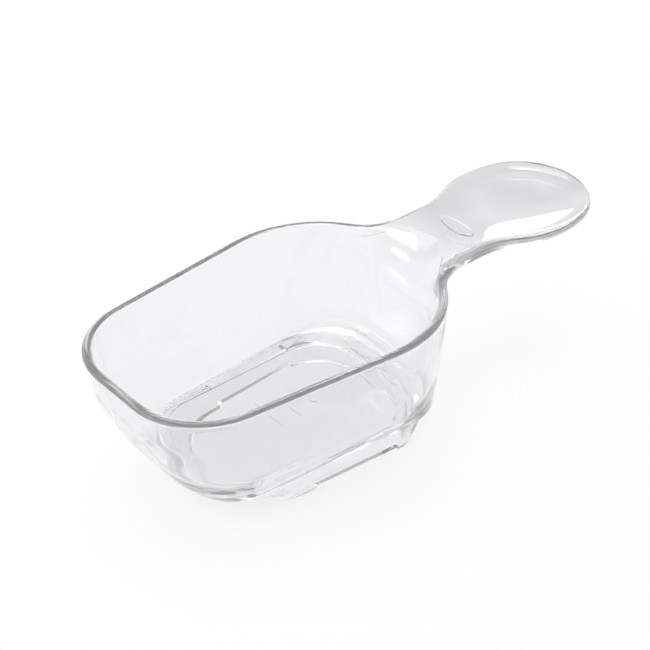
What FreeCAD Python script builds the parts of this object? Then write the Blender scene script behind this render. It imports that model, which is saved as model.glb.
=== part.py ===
import FreeCAD, Part

import math
import os

import Sketcher

# Clear one-piece moulded scoop: a rounded-trapezoid bowl on a hollow foot ring, with a flat waisted
# handle that ends in a dished thumb rest. Millimetres, +Z up, handle along +X.
# The origin is the middle of the overall box, on the surface the foot ring stands on.
# The moulding is divided into its named regions, which meet face to face.

Vector = FreeCAD.Vector
doc = FreeCAD.newDocument("scoop")
dims = doc.addObject("Spreadsheet::Sheet", "dims")

# alias, value (mm), meaning
DRIVING_DIMENSIONS = [
    ("lip_band", 2.0, "height of the rim band at the top of the bowl"),
    ("rim_round", 0.8, "rounding of the rim edges"),
    ("wall", 2.3, "wall thickness"),
    ("foot_wall", 2.4, "thickness of the foot ring on the ground"),
    ("notch_len", 26.0, "length of the relief notch under each long side of the foot"),
    ("notch_top", 1.4, "height of the relief notch"),
    ("notch_mid", -19.0, "middle of the relief notch"),
    ("neck_half", 12.8, "half width of the handle at its waist"),
    ("waist_start", 24.1, "start of the straight waist"),
    ("bowl_flare", 14.0, "concave radius from the bowl to the waist"),
    ("rest_flare", 20.0, "concave radius from the waist to the thumb rest"),
    ("rest_half", 18.1, "half width of the thumb rest"),
    ("shoulder", 30.0, "shoulder radius of the thumb rest"),
    ("tip_round", 17.4, "tip radius of the thumb rest"),
    ("tip", 76.0, "end of the handle"),
    ("handle_root", 8.0, "plane inside the bowl where the handle starts"),
    ("rest_root", 40.0, "plane where the thumb rest takes over from the neck"),
    ("droop", 1.2, "how far the top of the tip sits under the rim"),
    ("handle_drop", 12.8, "how far the handle's blend reaches down the back wall"),
    ("belly_rad", 250.0, "radius of the long curve under the handle"),
    ("belly_mid", 52.0, "lowest point of that curve"),
    ("belly_drop", 4.4, "depth of that point under the rim"),
    ("root_fillet", 9.0, "concave radius from the back wall to the underside of the handle"),
    ("root_curve", 24.0, "radius that rounds the root's underside across the handle"),
    ("root_reach", 20.0, "how far that rounding reaches to each side"),
    ("top_round", 0.8, "rounding of the handle's upper edge"),
    ("under_round", 1.2, "rounding of the handle's lower edge"),
    ("dish_ball", 60.0, "spherical radius of the thumb dish"),
    ("dish_depth", 1.6, "depth of the thumb dish"),
    ("dish_mid", 57.0, "centre of the thumb dish"),
    ("groove_rad", 46.0, "radius of the shallow hollow along the neck"),
    ("groove_depth", 0.8, "depth of the hollow along the neck"),
    ("badge_mid", 33.5, "centre of the plain oval badge"),
    ("badge_long", 6.0, "half length of the oval, across the neck"),
    ("badge_short", 2.3, "half width of the oval"),
    ("badge_rise", 0.35, "how far the oval stands above the neck"),
    ("mark_first", -30.0, "first raised measuring bar"),
    ("mark_gap", 6.0, "spacing of the bars"),
    ("mark_long", 12.0, "length of the first bar"),
    ("mark_step", 3.0, "how much shorter each next bar is"),
    ("mark_wide", 1.2, "width of a bar"),
    ("mark_rise", 0.35, "height of a bar above the floor"),
]
MARK_COUNT = 3

# Outlines of the outside of the bowl, from where it meets the foot to the rim: height, front x,
# back x, front and back corner centre y, front and back corner radius.
OUTSIDE_SECTIONS = [
    (6.8, -60.1, 11.6, 7.9, 11.2, 13.2, 12.0),
    (10.8, -64.0, 12.8, 8.4, 9.1, 14.0, 15.9),
    (16.8, -68.1, 14.5, 8.7, 6.3, 15.3, 20.9),
    (24.8, -71.8, 16.2, 8.8, 3.6, 17.0, 25.9),
    (32.8, -74.1, 17.4, 8.3, 1.9, 18.7, 29.3),
    (41.0, -76.0, 18.5, 7.2, 0.5, 20.5, 31.5),
]
# Outlines of the foot ring on the ground and where it meets the bowl.
FOOT_SECTIONS = [
    (0.0, -52.3, 7.4, 2.5, 8.1, 18.3, 14.9),
    (6.8, -59.8, 10.3, 6.8, 9.6, 14.0, 13.4),
]
# Outline of the flat top of the hollow inside the foot, which is the underside of the floor.
HOLLOW_TOP = (8.0, -56.3, 3.4, 5.6, 7.6, 13.6, 11.4)
# The inside starts with the flat floor and the fillet around it. From the third outside section
# upwards it is the outside moved in by the wall.
FLOOR_SECTIONS = [
    (10.3, -55.7, 6.2, 7.8, 5.0, 12.2, 17.0),
    (11.1, -59.8, 9.0, 8.1, 7.0, 12.1, 15.9),
    (13.0, -62.6, 10.8, 8.5, 7.4, 12.0, 16.2),
]
FIRST_PARALLEL_SECTION = 2


def fill_rows(table, first_row, columns="BCDEFGH"):
    """Write rows of (alias, value) pairs into the sheet, one row of the table per sheet row."""
    for row, pairs in enumerate(table, start=first_row):
        for column, (alias, value) in zip(columns, pairs):
            dims.set(f"{column}{row}", str(value))
            dims.setAlias(f"{column}{row}", alias)


for row, (alias, value, meaning) in enumerate(DRIVING_DIMENSIONS, start=1):
    dims.set(f"A{row}", meaning)
fill_rows([[(alias, value)] for alias, value, meaning in DRIVING_DIMENSIONS], 1)
D = {alias: value for alias, value, meaning in DRIVING_DIMENSIONS}

SECTION_WORDS = ("level", "front", "back", "frontcy", "backcy", "frontrad", "backrad")


def name_sections(prefix, sections, first_row):
    """Put bowl sections into the sheet and return the alias of every value."""
    names = [[f"{prefix}_{word}_{chr(97 + number)}" for word in SECTION_WORDS]
             for number in range(len(sections))]
    fill_rows([list(zip(row, values)) for row, values in zip(names, sections)], first_row)
    return names


outside_names = name_sections("outside", OUTSIDE_SECTIONS, len(DRIVING_DIMENSIONS) + 2)
floor_names = name_sections("floor", FLOOR_SECTIONS, len(DRIVING_DIMENSIONS) + 12)
foot_names = name_sections("foot", FOOT_SECTIONS, len(DRIVING_DIMENSIONS) + 17)
hollow_names = name_sections("hollow", [HOLLOW_TOP], len(DRIVING_DIMENSIONS) + 21)
doc.recompute()


def sheet(alias):
    return "dims." + alias


def new_body(label):
    body = doc.addObject("PartDesign::Body", label)
    body.Label = label
    return body


def origin_plane(body, role):
    return [feature for feature in body.Origin.OriginFeatures if feature.Role == role][0]


def new_sketch(body, role, name, height=None):
    """A sketch on one of the body's own origin planes, lifted along its normal by a sheet value."""
    sketch = body.newObject("Sketcher::SketchObject", name)
    sketch.AttachmentSupport = [(origin_plane(body, role), "")]
    sketch.MapMode = "FlatFace"
    if height:
        sketch.setExpression("AttachmentOffset.Base.z", height)
    return sketch


def dimension(sketch, kind, expression, *where):
    """Add one driving constraint and bind it to the sheet."""
    index = sketch.addConstraint(Sketcher.Constraint(kind, *where))
    sketch.setExpression(f"Constraints[{index}]", expression)


def arc_through(centre, radius, start_angle, end_angle):
    circle = Part.Circle(Vector(centre[0], centre[1], 0), Vector(0, 0, 1), radius)
    return Part.ArcOfCircle(circle, start_angle, end_angle)


def corner_outline(sketch, front, back, front_cy, back_cy, front_rad, back_rad, expressions):
    """A rounded trapezoid, symmetric about X: two end lines, two side lines and four corner arcs.

    expressions: front x, back x, front corner centre y, back corner centre y and the two radii.
    """
    front_x = front + front_rad
    back_x = back - back_rad
    run = back_x - front_x
    rise = back_cy - front_cy
    tilt = math.atan2(rise, run) + math.asin((back_rad - front_rad) / math.hypot(run, rise))
    normal = math.pi / 2 + tilt
    up = Vector(math.cos(normal), math.sin(normal), 0)
    side_front = Vector(front_x, front_cy, 0) + up * front_rad
    side_back = Vector(back_x, back_cy, 0) + up * back_rad

    def mirrored(point):
        return Vector(point.x, -point.y, 0)

    edges = [
        Part.LineSegment(side_back, side_front),
        arc_through((front_x, front_cy), front_rad, normal, math.pi),
        Part.LineSegment(Vector(front, front_cy, 0), Vector(front, -front_cy, 0)),
        arc_through((front_x, -front_cy), front_rad, math.pi, 2 * math.pi - normal),
        Part.LineSegment(mirrored(side_front), mirrored(side_back)),
        arc_through((back_x, -back_cy), back_rad, -normal, 0),
        Part.LineSegment(Vector(back, -back_cy, 0), Vector(back, back_cy, 0)),
        arc_through((back_x, back_cy), back_rad, 0, normal),
    ]
    sketch.addGeometry(edges, False)
    for edge in range(len(edges)):
        sketch.addConstraint(Sketcher.Constraint("Tangent", edge, 2, (edge + 1) % len(edges), 1))
    sketch.addConstraint(Sketcher.Constraint("Vertical", 2))
    sketch.addConstraint(Sketcher.Constraint("Vertical", 6))
    front_value, back_value, front_y, back_y, front_r, back_r = expressions
    dimension(sketch, "DistanceX", front_value, -1, 1, 2, 1, front)
    dimension(sketch, "DistanceX", back_value, -1, 1, 6, 1, back)
    dimension(sketch, "DistanceY", front_y, -1, 1, 1, 3, front_cy)
    dimension(sketch, "DistanceY", f"-({front_y})", -1, 1, 3, 3, -front_cy)
    dimension(sketch, "DistanceY", back_y, -1, 1, 7, 3, back_cy)
    dimension(sketch, "DistanceY", f"-({back_y})", -1, 1, 5, 3, -back_cy)
    dimension(sketch, "Radius", front_r, 1, front_rad)
    dimension(sketch, "Radius", front_r, 3, front_rad)
    dimension(sketch, "Radius", back_r, 5, back_rad)
    dimension(sketch, "Radius", back_r, 7, back_rad)


def bowl_form(label, sections):
    """A solid lofted through bowl sections, each given as (values, expressions)."""
    body = new_body(label)
    outlines = []
    for number, (values, expressions) in enumerate(sections, start=1):
        outline = new_sketch(body, "XY_Plane", f"{label}_section_{number}", expressions[0])
        corner_outline(outline, *values[1:], expressions[1:])
        outlines.append(outline)
    doc.recompute()
    loft = body.newObject("PartDesign::AdditiveLoft", f"{label}_loft")
    loft.Profile = outlines[0]
    loft.Sections = outlines[1:]
    loft.Ruled = False
    return body


def driven(sections, names):
    """Sections as (values, expressions), with every value driven by its own cell."""
    return [(values, [sheet(name) for name in row]) for values, row in zip(sections, names)]


def moved_in(values, names, amount, amount_expression):
    """One outline moved in by a thickness: its values and the expressions that drive them."""
    signs = (0, 1, -1, 0, 0, -1, -1)
    shown = {0: "{0}", 1: "{0} + {1}", -1: "{0} - {1}"}
    new_values = [value + sign * amount for value, sign in zip(values, signs)]
    expressions = [shown[sign].format(sheet(name), amount_expression) for name, sign in zip(names, signs)]
    return new_values, expressions


def box(label, low, high):
    """A box between two corners, each of three expressions."""
    solid = doc.addObject("Part::Box", label)
    for axis, size, start, end in zip("xyz", ("Length", "Width", "Height"), low, high):
        solid.setExpression(f"Placement.Base.{axis}", start)
        solid.setExpression(size, f"({end}) - ({start})")
    return solid


def boolean(kind, label, base, tool):
    result = doc.addObject(f"Part::{kind}", label)
    result.Label = label
    result.Base = base
    result.Tool = tool
    return result


def padded(label, outline_values, outline_expressions, bottom, top):
    """A bowl-shaped outline padded between two heights."""
    body = new_body(label)
    outline = new_sketch(body, "XY_Plane", f"{label}_outline", bottom)
    corner_outline(outline, *outline_values, outline_expressions)
    pad = body.newObject("PartDesign::Pad", f"{label}_pad")
    pad.Profile = outline
    pad.setExpression("Length", f"({top}) - ({bottom})")
    return body


# ---- bowl -----------------------------------------------------------------------------------
RIM_Z = OUTSIDE_SECTIONS[-1][0]
rim_z = sheet(outside_names[-1][0])
foot_top_z = sheet(outside_names[0][0])
floor_top_z = sheet(floor_names[0][0])
# the cutting boxes reach this far past the moulding, and the inside form this far over the rim
REACH = 100.0
OVER_RIM = 1.0
# an edge counts as lying at a height when it is this close to it
CLOSE = 0.1


def make_bowl():
    """The bowl's outside and inside forms, and the floor, wall and rim that they leave."""
    outside = bowl_form("bowl_outside", driven(OUTSIDE_SECTIONS, outside_names))
    floor = driven(FLOOR_SECTIONS, floor_names)
    parallel = [moved_in(values, names, D["wall"], sheet("wall"))
                for values, names in zip(OUTSIDE_SECTIONS[FIRST_PARALLEL_SECTION:],
                                         outside_names[FIRST_PARALLEL_SECTION:])]
    inside = bowl_form("bowl_inside", floor + parallel)
    doc.recompute()
    top_face = padded_over_rim(parallel[-1])
    cavity = boolean("Fuse", "bowl_cavity", inside, top_face)
    shell = boolean("Cut", "bowl_shell", outside, cavity)
    lip_z = f"{rim_z} - {sheet('lip_band')}"
    low_corner, high_corner = (f"-{REACH}", f"-{REACH}"), (f"{REACH}", f"{REACH}")
    wall_zone = box("wall_zone", (*low_corner, floor_top_z), (*high_corner, lip_z))
    rim_zone = box("rim_zone", (*low_corner, lip_z), (*high_corner, f"{rim_z} + {OVER_RIM}"))
    floor_zone = box("floor_zone", (*low_corner, foot_top_z), (*high_corner, floor_top_z))
    wall = boolean("Common", "bowl_wall", shell, wall_zone)
    rim_blank = boolean("Common", "rim_blank", shell, rim_zone)
    floor_blank = boolean("Common", "floor_blank", outside, floor_zone)
    return outside, wall, rim_blank, floor_blank


def padded_over_rim(rim_section):
    """A short plug that carries the inside form over the rim, so the cut leaves a clean edge."""
    values, expressions = rim_section
    return padded("rim_plug", values[1:], expressions[1:], rim_z, f"{rim_z} + {OVER_RIM}")


def edges_between(shape, low, high, keep=lambda edge: True):
    """Numbers of the edges that lie wholly between two heights."""
    return [number for number, edge in enumerate(shape.Edges, start=1)
            if edge.BoundBox.ZMin > low and edge.BoundBox.ZMax < high and keep(edge)]


def make_rim(rim_blank):
    """The rounded edge around the mouth of the bowl."""
    rim = doc.addObject("Part::Fillet", "rim_lip")
    rim.Label = "rim_lip"
    rim.Base = rim_blank
    top_edges = edges_between(rim_blank.Shape, RIM_Z - CLOSE, RIM_Z + CLOSE)
    rim.Edges = [(number, D["rim_round"], D["rim_round"]) for number in top_edges]
    return rim


# ---- foot -----------------------------------------------------------------------------------
def make_foot(floor_blank):
    """The hollow foot ring with a relief notch under each long side, and the floor over it."""
    blank = bowl_form("foot_blank", driven(FOOT_SECTIONS, foot_names))
    ground = moved_in(FOOT_SECTIONS[0], foot_names[0], D["foot_wall"], sheet("foot_wall"))
    hollow = bowl_form("foot_hollow", [ground, *driven([HOLLOW_TOP], hollow_names)])
    ring = boolean("Cut", "foot_ring_blank", blank, hollow)
    notch_low = f"{sheet('notch_mid')} - {sheet('notch_len')} / 2"
    notch_high = f"{sheet('notch_mid')} + {sheet('notch_len')} / 2"
    notch = box("notch_zone", (notch_low, f"-{REACH}", "-1"),
                (notch_high, f"{REACH}", sheet("notch_top")))
    foot = boolean("Cut", "foot_ring", ring, notch)
    floor = boolean("Cut", "bowl_floor", floor_blank, hollow)
    return foot, floor


# ---- handle ---------------------------------------------------------------------------------
def handle_plan(sketch):
    """Plan outline of the handle: flare off the bowl, straight waist, shoulders and round tip."""
    waist, half = D["waist_start"], D["neck_half"]
    tip_cx = D["tip"] - D["tip_round"]
    shoulder_cy = D["rest_half"] - D["shoulder"]
    shoulder_cx = tip_cx - math.sqrt((D["shoulder"] - D["tip_round"]) ** 2 - shoulder_cy ** 2)
    flare_cy = half + D["bowl_flare"]
    rest_cy = half + D["rest_flare"]
    rest_reach = D["shoulder"] + D["rest_flare"]
    rest_cx = shoulder_cx - math.sqrt(rest_reach ** 2 - (rest_cy - shoulder_cy) ** 2)
    _, _, back, _, back_cy, _, back_rad = OUTSIDE_SECTIONS[-1]
    to_bowl = math.pi + math.atan2(flare_cy - back_cy, waist - (back - back_rad))
    to_shoulder = math.atan2(shoulder_cy - rest_cy, shoulder_cx - rest_cx)
    to_tip = math.atan2(-shoulder_cy, tip_cx - shoulder_cx)
    flare_x = waist + D["bowl_flare"] * math.cos(to_bowl)
    flare_y = flare_cy + D["bowl_flare"] * math.sin(to_bowl)
    root = D["handle_root"]
    bottom = 1.5 * math.pi
    top_half = math.pi / 2
    edges = [
        Part.LineSegment(Vector(root, -flare_y, 0), Vector(root, flare_y, 0)),
        Part.LineSegment(Vector(root, flare_y, 0), Vector(flare_x, flare_y, 0)),
        arc_through((waist, flare_cy), D["bowl_flare"], to_bowl, bottom),
        Part.LineSegment(Vector(waist, half, 0), Vector(rest_cx, half, 0)),
        arc_through((rest_cx, rest_cy), D["rest_flare"], bottom, to_shoulder + 2 * math.pi),
        arc_through((shoulder_cx, shoulder_cy), D["shoulder"], to_tip, to_shoulder + math.pi),
        arc_through((tip_cx, 0), D["tip_round"], -to_tip, to_tip),
        arc_through((shoulder_cx, -shoulder_cy), D["shoulder"], -(to_shoulder + math.pi), -to_tip),
        arc_through((rest_cx, -rest_cy), D["rest_flare"], -to_shoulder, top_half),
        Part.LineSegment(Vector(rest_cx, -half, 0), Vector(waist, -half, 0)),
        arc_through((waist, -flare_cy), D["bowl_flare"], top_half, 2 * math.pi - to_bowl),
        Part.LineSegment(Vector(flare_x, -flare_y, 0), Vector(root, -flare_y, 0)),
    ]
    sketch.addGeometry(edges, False)


def join(sketch, kind, *pairs):
    for first, first_end, second, second_end in pairs:
        sketch.addConstraint(Sketcher.Constraint(kind, first, first_end, second, second_end))


def constrain_handle_plan(sketch):
    """Tie the plan outline together and bind its sizes to the sheet."""
    join(sketch, "Tangent", (2, 2, 3, 1), (3, 2, 4, 1), (4, 2, 5, 2), (5, 1, 6, 2),
         (6, 1, 7, 2), (7, 1, 8, 1), (8, 2, 9, 1), (9, 2, 10, 1))
    join(sketch, "Coincident", (0, 2, 1, 1), (1, 2, 2, 1), (10, 2, 11, 1), (11, 2, 0, 1))
    for line in (1, 3, 9, 11):
        sketch.addConstraint(Sketcher.Constraint("Horizontal", line))
    sketch.addConstraint(Sketcher.Constraint("Vertical", 0))
    sketch.addConstraint(Sketcher.Constraint("PointOnObject", 6, 3, -1))
    for arc, name in ((2, "bowl_flare"), (10, "bowl_flare"), (4, "rest_flare"), (8, "rest_flare"),
                      (5, "shoulder"), (7, "shoulder"), (6, "tip_round")):
        dimension(sketch, "Radius", sheet(name), arc, D[name])
    tip_cx = D["tip"] - D["tip_round"]
    dimension(sketch, "DistanceX", f"{sheet('tip')} - {sheet('tip_round')}", -1, 1, 6, 3, tip_cx)
    shoulder_y = D["shoulder"] - D["rest_half"]
    shoulder_expression = f"{sheet('shoulder')} - {sheet('rest_half')}"
    dimension(sketch, "DistanceY", shoulder_expression, 5, 3, -1, 1, shoulder_y)
    dimension(sketch, "DistanceY", shoulder_expression, -1, 1, 7, 3, shoulder_y)
    dimension(sketch, "DistanceY", sheet("neck_half"), -1, 1, 3, 1, D["neck_half"])
    dimension(sketch, "DistanceY", sheet("neck_half"), 9, 1, -1, 1, D["neck_half"])
    dimension(sketch, "DistanceX", sheet("waist_start"), -1, 1, 2, 3, D["waist_start"])
    dimension(sketch, "DistanceX", sheet("waist_start"), -1, 1, 10, 3, D["waist_start"])
    dimension(sketch, "DistanceX", sheet("handle_root"), -1, 1, 0, 1, D["handle_root"])


def handle_blank():
    """The handle in plan, padded from the foot of its root fillet to the rim."""
    body = new_body("handle_blank")
    plan = new_sketch(body, "XY_Plane", "handle_plan", f"{rim_z} - {sheet('handle_drop')}")
    handle_plan(plan)
    constrain_handle_plan(plan)
    pad = body.newObject("PartDesign::Pad", "handle_pad")
    pad.Profile = plan
    pad.setExpression("Length", sheet("handle_drop"))
    return body


def slope_top(body):
    """Cut the handle's upper face so that it slopes down to the tip."""
    tip_top = RIM_Z - D["droop"]
    root, tip = D["handle_root"], D["tip"] + OVER_RIM
    top = new_sketch(body, "XZ_Plane", "top_cut_outline")
    top_corners = [Vector(root, RIM_Z, 0), Vector(tip, tip_top, 0),
                   Vector(tip, RIM_Z + OVER_RIM, 0), Vector(root, RIM_Z + OVER_RIM, 0)]
    top.addGeometry([Part.LineSegment(top_corners[i], top_corners[(i + 1) % 4]) for i in range(4)], False)
    join(top, "Coincident", (0, 2, 1, 1), (1, 2, 2, 1), (2, 2, 3, 1), (3, 2, 0, 1))
    for line, kind in ((1, "Vertical"), (2, "Horizontal"), (3, "Vertical")):
        top.addConstraint(Sketcher.Constraint(kind, line))
    dimension(top, "DistanceX", sheet("handle_root"), -1, 1, 0, 1, root)
    dimension(top, "DistanceY", rim_z, -1, 1, 0, 1, RIM_Z)
    dimension(top, "DistanceX", f"{sheet('tip')} + {OVER_RIM}", -1, 1, 0, 2, tip)
    dimension(top, "DistanceY", f"{rim_z} - {sheet('droop')}", -1, 1, 0, 2, tip_top)
    dimension(top, "DistanceY", f"{rim_z} + {OVER_RIM}", -1, 1, 2, 1, RIM_Z + OVER_RIM)
    through_cut(body, "top_cut", top)


def curve_underside(body):
    """Cut the long curve under the handle and the concave fillet at its root."""
    tip = D["tip"] + OVER_RIM
    under = new_sketch(body, "XZ_Plane", "under_cut_outline")
    fillet, belly = D["root_fillet"], D["belly_rad"]
    wall_x = OUTSIDE_SECTIONS[-2][2]
    fillet_cx, belly_cx = wall_x + fillet, D["belly_mid"]
    belly_cz = RIM_Z - D["belly_drop"] + belly
    fillet_cz = belly_cz - math.sqrt((belly + fillet) ** 2 - (belly_cx - fillet_cx) ** 2)
    to_belly = math.atan2(belly_cz - fillet_cz, belly_cx - fillet_cx)
    sweep = math.asin((tip - belly_cx) / belly)
    low = RIM_Z - D["handle_drop"] - OVER_RIM
    end = Vector(tip, belly_cz - belly * math.cos(sweep), 0)
    under.addGeometry([
        arc_through((fillet_cx, fillet_cz), fillet, to_belly, math.pi),
        arc_through((belly_cx, belly_cz), belly, to_belly + math.pi, 1.5 * math.pi + sweep),
        Part.LineSegment(end, Vector(tip, low, 0)),
        Part.LineSegment(Vector(tip, low, 0), Vector(wall_x, low, 0)),
        Part.LineSegment(Vector(wall_x, low, 0), Vector(wall_x, fillet_cz, 0)),
    ], False)
    join(under, "Tangent", (0, 1, 1, 1), (4, 2, 0, 2))
    join(under, "Coincident", (1, 2, 2, 1), (2, 2, 3, 1), (3, 2, 4, 1))
    for line, kind in ((2, "Vertical"), (3, "Horizontal"), (4, "Vertical")):
        under.addConstraint(Sketcher.Constraint(kind, line))
    dimension(under, "Radius", sheet("root_fillet"), 0, fillet)
    dimension(under, "Radius", sheet("belly_rad"), 1, belly)
    dimension(under, "DistanceX", sheet(outside_names[-2][2]), -1, 1, 4, 1, wall_x)
    dimension(under, "DistanceX", sheet("belly_mid"), -1, 1, 1, 3, belly_cx)
    belly_z = f"{rim_z} - {sheet('belly_drop')} + {sheet('belly_rad')}"
    dimension(under, "DistanceY", belly_z, -1, 1, 1, 3, belly_cz)
    dimension(under, "DistanceX", f"{sheet('tip')} + {OVER_RIM}", -1, 1, 2, 1, tip)
    dimension(under, "DistanceY", f"{rim_z} - {sheet('handle_drop')} - {OVER_RIM}", -1, 1, 3, 1, low)
    through_cut(body, "under_cut", under)


def shape_root(body):
    """Round the underside of the handle's root across its width, in the body's YZ plane."""
    curve, side = D["root_curve"], D["root_reach"]
    bottom = RIM_Z - D["handle_drop"]
    centre_z = bottom + curve
    reach = math.asin(side / curve)
    side_z = centre_z - curve * math.cos(reach)
    low = bottom - OVER_RIM
    root = new_sketch(body, "YZ_Plane", "root_cut_outline")
    root.addGeometry([
        arc_through((0, centre_z), curve, 1.5 * math.pi - reach, 1.5 * math.pi + reach),
        Part.LineSegment(Vector(side, side_z, 0), Vector(side, low, 0)),
        Part.LineSegment(Vector(side, low, 0), Vector(-side, low, 0)),
        Part.LineSegment(Vector(-side, low, 0), Vector(-side, side_z, 0)),
    ], False)
    join(root, "Coincident", (0, 2, 1, 1), (1, 2, 2, 1), (2, 2, 3, 1), (3, 2, 0, 1))
    for line, kind in ((1, "Vertical"), (2, "Horizontal"), (3, "Vertical")):
        root.addConstraint(Sketcher.Constraint(kind, line))
    root.addConstraint(Sketcher.Constraint("PointOnObject", 0, 3, -2))
    dimension(root, "Radius", sheet("root_curve"), 0, curve)
    bottom_expression = f"{rim_z} - {sheet('handle_drop')}"
    dimension(root, "DistanceY", f"{bottom_expression} + {sheet('root_curve')}", -1, 1, 0, 3, centre_z)
    dimension(root, "DistanceX", sheet("root_reach"), -1, 1, 1, 1, side)
    dimension(root, "DistanceX", sheet("root_reach"), 3, 1, -1, 1, side)
    dimension(root, "DistanceY", f"{bottom_expression} - {OVER_RIM}", -1, 1, 2, 1, low)
    through_cut(body, "root_cut", root)


def through_cut(body, name, sketch):
    pocket = body.newObject("PartDesign::Pocket", name)
    pocket.Profile = sketch
    pocket.Type = "ThroughAll"
    pocket.Midplane = True
    return pocket


def round_edges(body, name, radius, low, high):
    """Round the edges of the handle that lie between two heights, away from its root plane."""
    doc.recompute()
    past_root = D["handle_root"] + OVER_RIM
    steepest = D["root_fillet"] / 4
    numbers = edges_between(body.Shape, low, high, lambda edge: edge.BoundBox.XMax > past_root
                            and edge.BoundBox.ZMax - edge.BoundBox.ZMin < steepest)
    base = body.Tip
    fillet = body.newObject("PartDesign::Fillet", name)
    fillet.Base = (base, [f"Edge{number}" for number in numbers])
    fillet.setExpression("Radius", radius)
    return fillet


def make_handle(outside):
    """The neck and the thumb rest, cut from one rounded and dished plate."""
    body = handle_blank()
    shape_root(body)
    slope_top(body)
    curve_underside(body)
    top_low = RIM_Z - D["droop"] - CLOSE
    root_low = RIM_Z - D["handle_drop"] + OVER_RIM
    round_edges(body, "top_round", sheet("top_round"), top_low, RIM_Z + CLOSE)
    round_edges(body, "under_round", sheet("under_round"), root_low, top_low)
    dish = doc.addObject("Part::Sphere", "thumb_dish")
    dish.setExpression("Radius", sheet("dish_ball"))
    dish.setExpression("Placement.Base.x", sheet("dish_mid"))
    dish_low = f"{rim_z} - {sheet('droop')} - {sheet('dish_depth')}"
    dish.setExpression("Placement.Base.z", f"{dish_low} + {sheet('dish_ball')}")
    grooved = boolean("Cut", "grooved_handle", body, neck_groove("neck_groove", "0"))
    dished = boolean("Cut", "dished_handle", grooved, dish)
    outer_part = boolean("Cut", "handle_outside_bowl", dished, outside)
    far = f"{REACH}"
    neck_zone = box("neck_zone", ("0", f"-{far}", "0"), (sheet("rest_root"), far, far))
    rest_zone = box("rest_zone", (sheet("rest_root"), f"-{far}", "0"), (far, far, far))
    neck = boolean("Common", "handle_neck", outer_part, neck_zone)
    rest = boolean("Common", "thumb_rest", outer_part, rest_zone)
    return neck, rest


def neck_groove(label, less):
    """The cylinder along X that hollows the top of the neck; less is taken off its radius."""
    cylinder = doc.addObject("Part::Cylinder", label)
    cylinder.Placement.Rotation = FreeCAD.Rotation(Vector(0, 1, 0), 90)
    cylinder.setExpression("Radius", f"{sheet('groove_rad')} - {less}")
    cylinder.setExpression("Height", f"{REACH}")
    groove_low = f"{rim_z} - {sheet('groove_depth')}"
    cylinder.setExpression("Placement.Base.z", f"{groove_low} + {sheet('groove_rad')}")
    return cylinder


def make_badge(neck):
    """A plain raised oval that follows the hollow of the neck."""
    body = new_body("badge_blank")
    outline = new_sketch(body, "XY_Plane", "badge_outline", f"{rim_z} - {sheet('belly_drop')} / 2")
    middle = Vector(D["badge_mid"], 0, 0)
    outline.addGeometry(Part.Ellipse(middle + Vector(0, D["badge_long"], 0),
                                     middle + Vector(D["badge_short"], 0, 0), middle), False)
    outline.exposeInternalGeometry(0)
    dimension(outline, "DistanceX", sheet("badge_mid"), -1, 1, 0, 3, D["badge_mid"])
    outline.addConstraint(Sketcher.Constraint("PointOnObject", 0, 3, -1))
    outline.addConstraint(Sketcher.Constraint("Vertical", 1))
    dimension(outline, "Distance", f"2 * {sheet('badge_long')}", 1, 2 * D["badge_long"])
    dimension(outline, "Distance", f"2 * {sheet('badge_short')}", 2, 2 * D["badge_short"])
    pad = body.newObject("PartDesign::Pad", "badge_pad")
    pad.Profile = outline
    pad.setExpression("Length", sheet("belly_drop"))
    crowned = boolean("Cut", "crowned_badge", body, neck_groove("badge_groove", sheet("badge_rise")))
    return boolean("Cut", "neck_badge", crowned, neck)


def make_marks():
    """Plain raised bars on the bowl floor, each shorter than the one before it."""
    bars = []
    for number in range(MARK_COUNT):
        middle = f"{sheet('mark_first')} + {number} * {sheet('mark_gap')}"
        half = f"({sheet('mark_long')} - {number} * {sheet('mark_step')}) / 2"
        half_wide = f"{sheet('mark_wide')} / 2"
        bars.append(box(f"bar_{number + 1}", (f"{middle} - {half_wide}", f"-({half})", floor_top_z),
                        (f"{middle} + {half_wide}", half, f"{floor_top_z} + {sheet('mark_rise')}")))
    marks = doc.addObject("Part::Compound", "floor_marks")
    marks.Label = "floor_marks"
    marks.Links = bars
    return marks


def check_document():
    """Stop if any object failed, or any sketch can't be solved."""
    for item in doc.Objects:
        if "Invalid" in item.State or "Error" in item.State:
            raise RuntimeError(f"{item.Label}: {item.State}")
        if item.TypeId == "Sketcher::SketchObject" and item.solve() != 0:
            raise RuntimeError(f"{item.Label}: sketch not solved")


def export(nodes):
    os.makedirs("parts", exist_ok=True)
    for node in nodes:
        if node.Shape.isNull() or not node.Shape.isValid():
            raise RuntimeError(f"{node.Label}: no valid shape")
    for node in nodes:
        node.Shape.exportStep(f"parts/{node.Label}.step")
        print(f"{node.Label:14s} {len(node.Shape.Solids)} solid(s) {node.Shape.Volume / 1000:8.2f} ml")


bowl_outside, bowl_wall, rim_blank, floor_blank = make_bowl()
doc.recompute()
rim_lip = make_rim(rim_blank)
foot_ring, bowl_floor = make_foot(floor_blank)
handle_neck, thumb_rest = make_handle(bowl_outside)
neck_badge = make_badge(handle_neck)
floor_marks = make_marks()
doc.recompute()
check_document()
export([bowl_wall, rim_lip, bowl_floor, foot_ring, handle_neck, thumb_rest, neck_badge, floor_marks])
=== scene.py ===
import math

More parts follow.
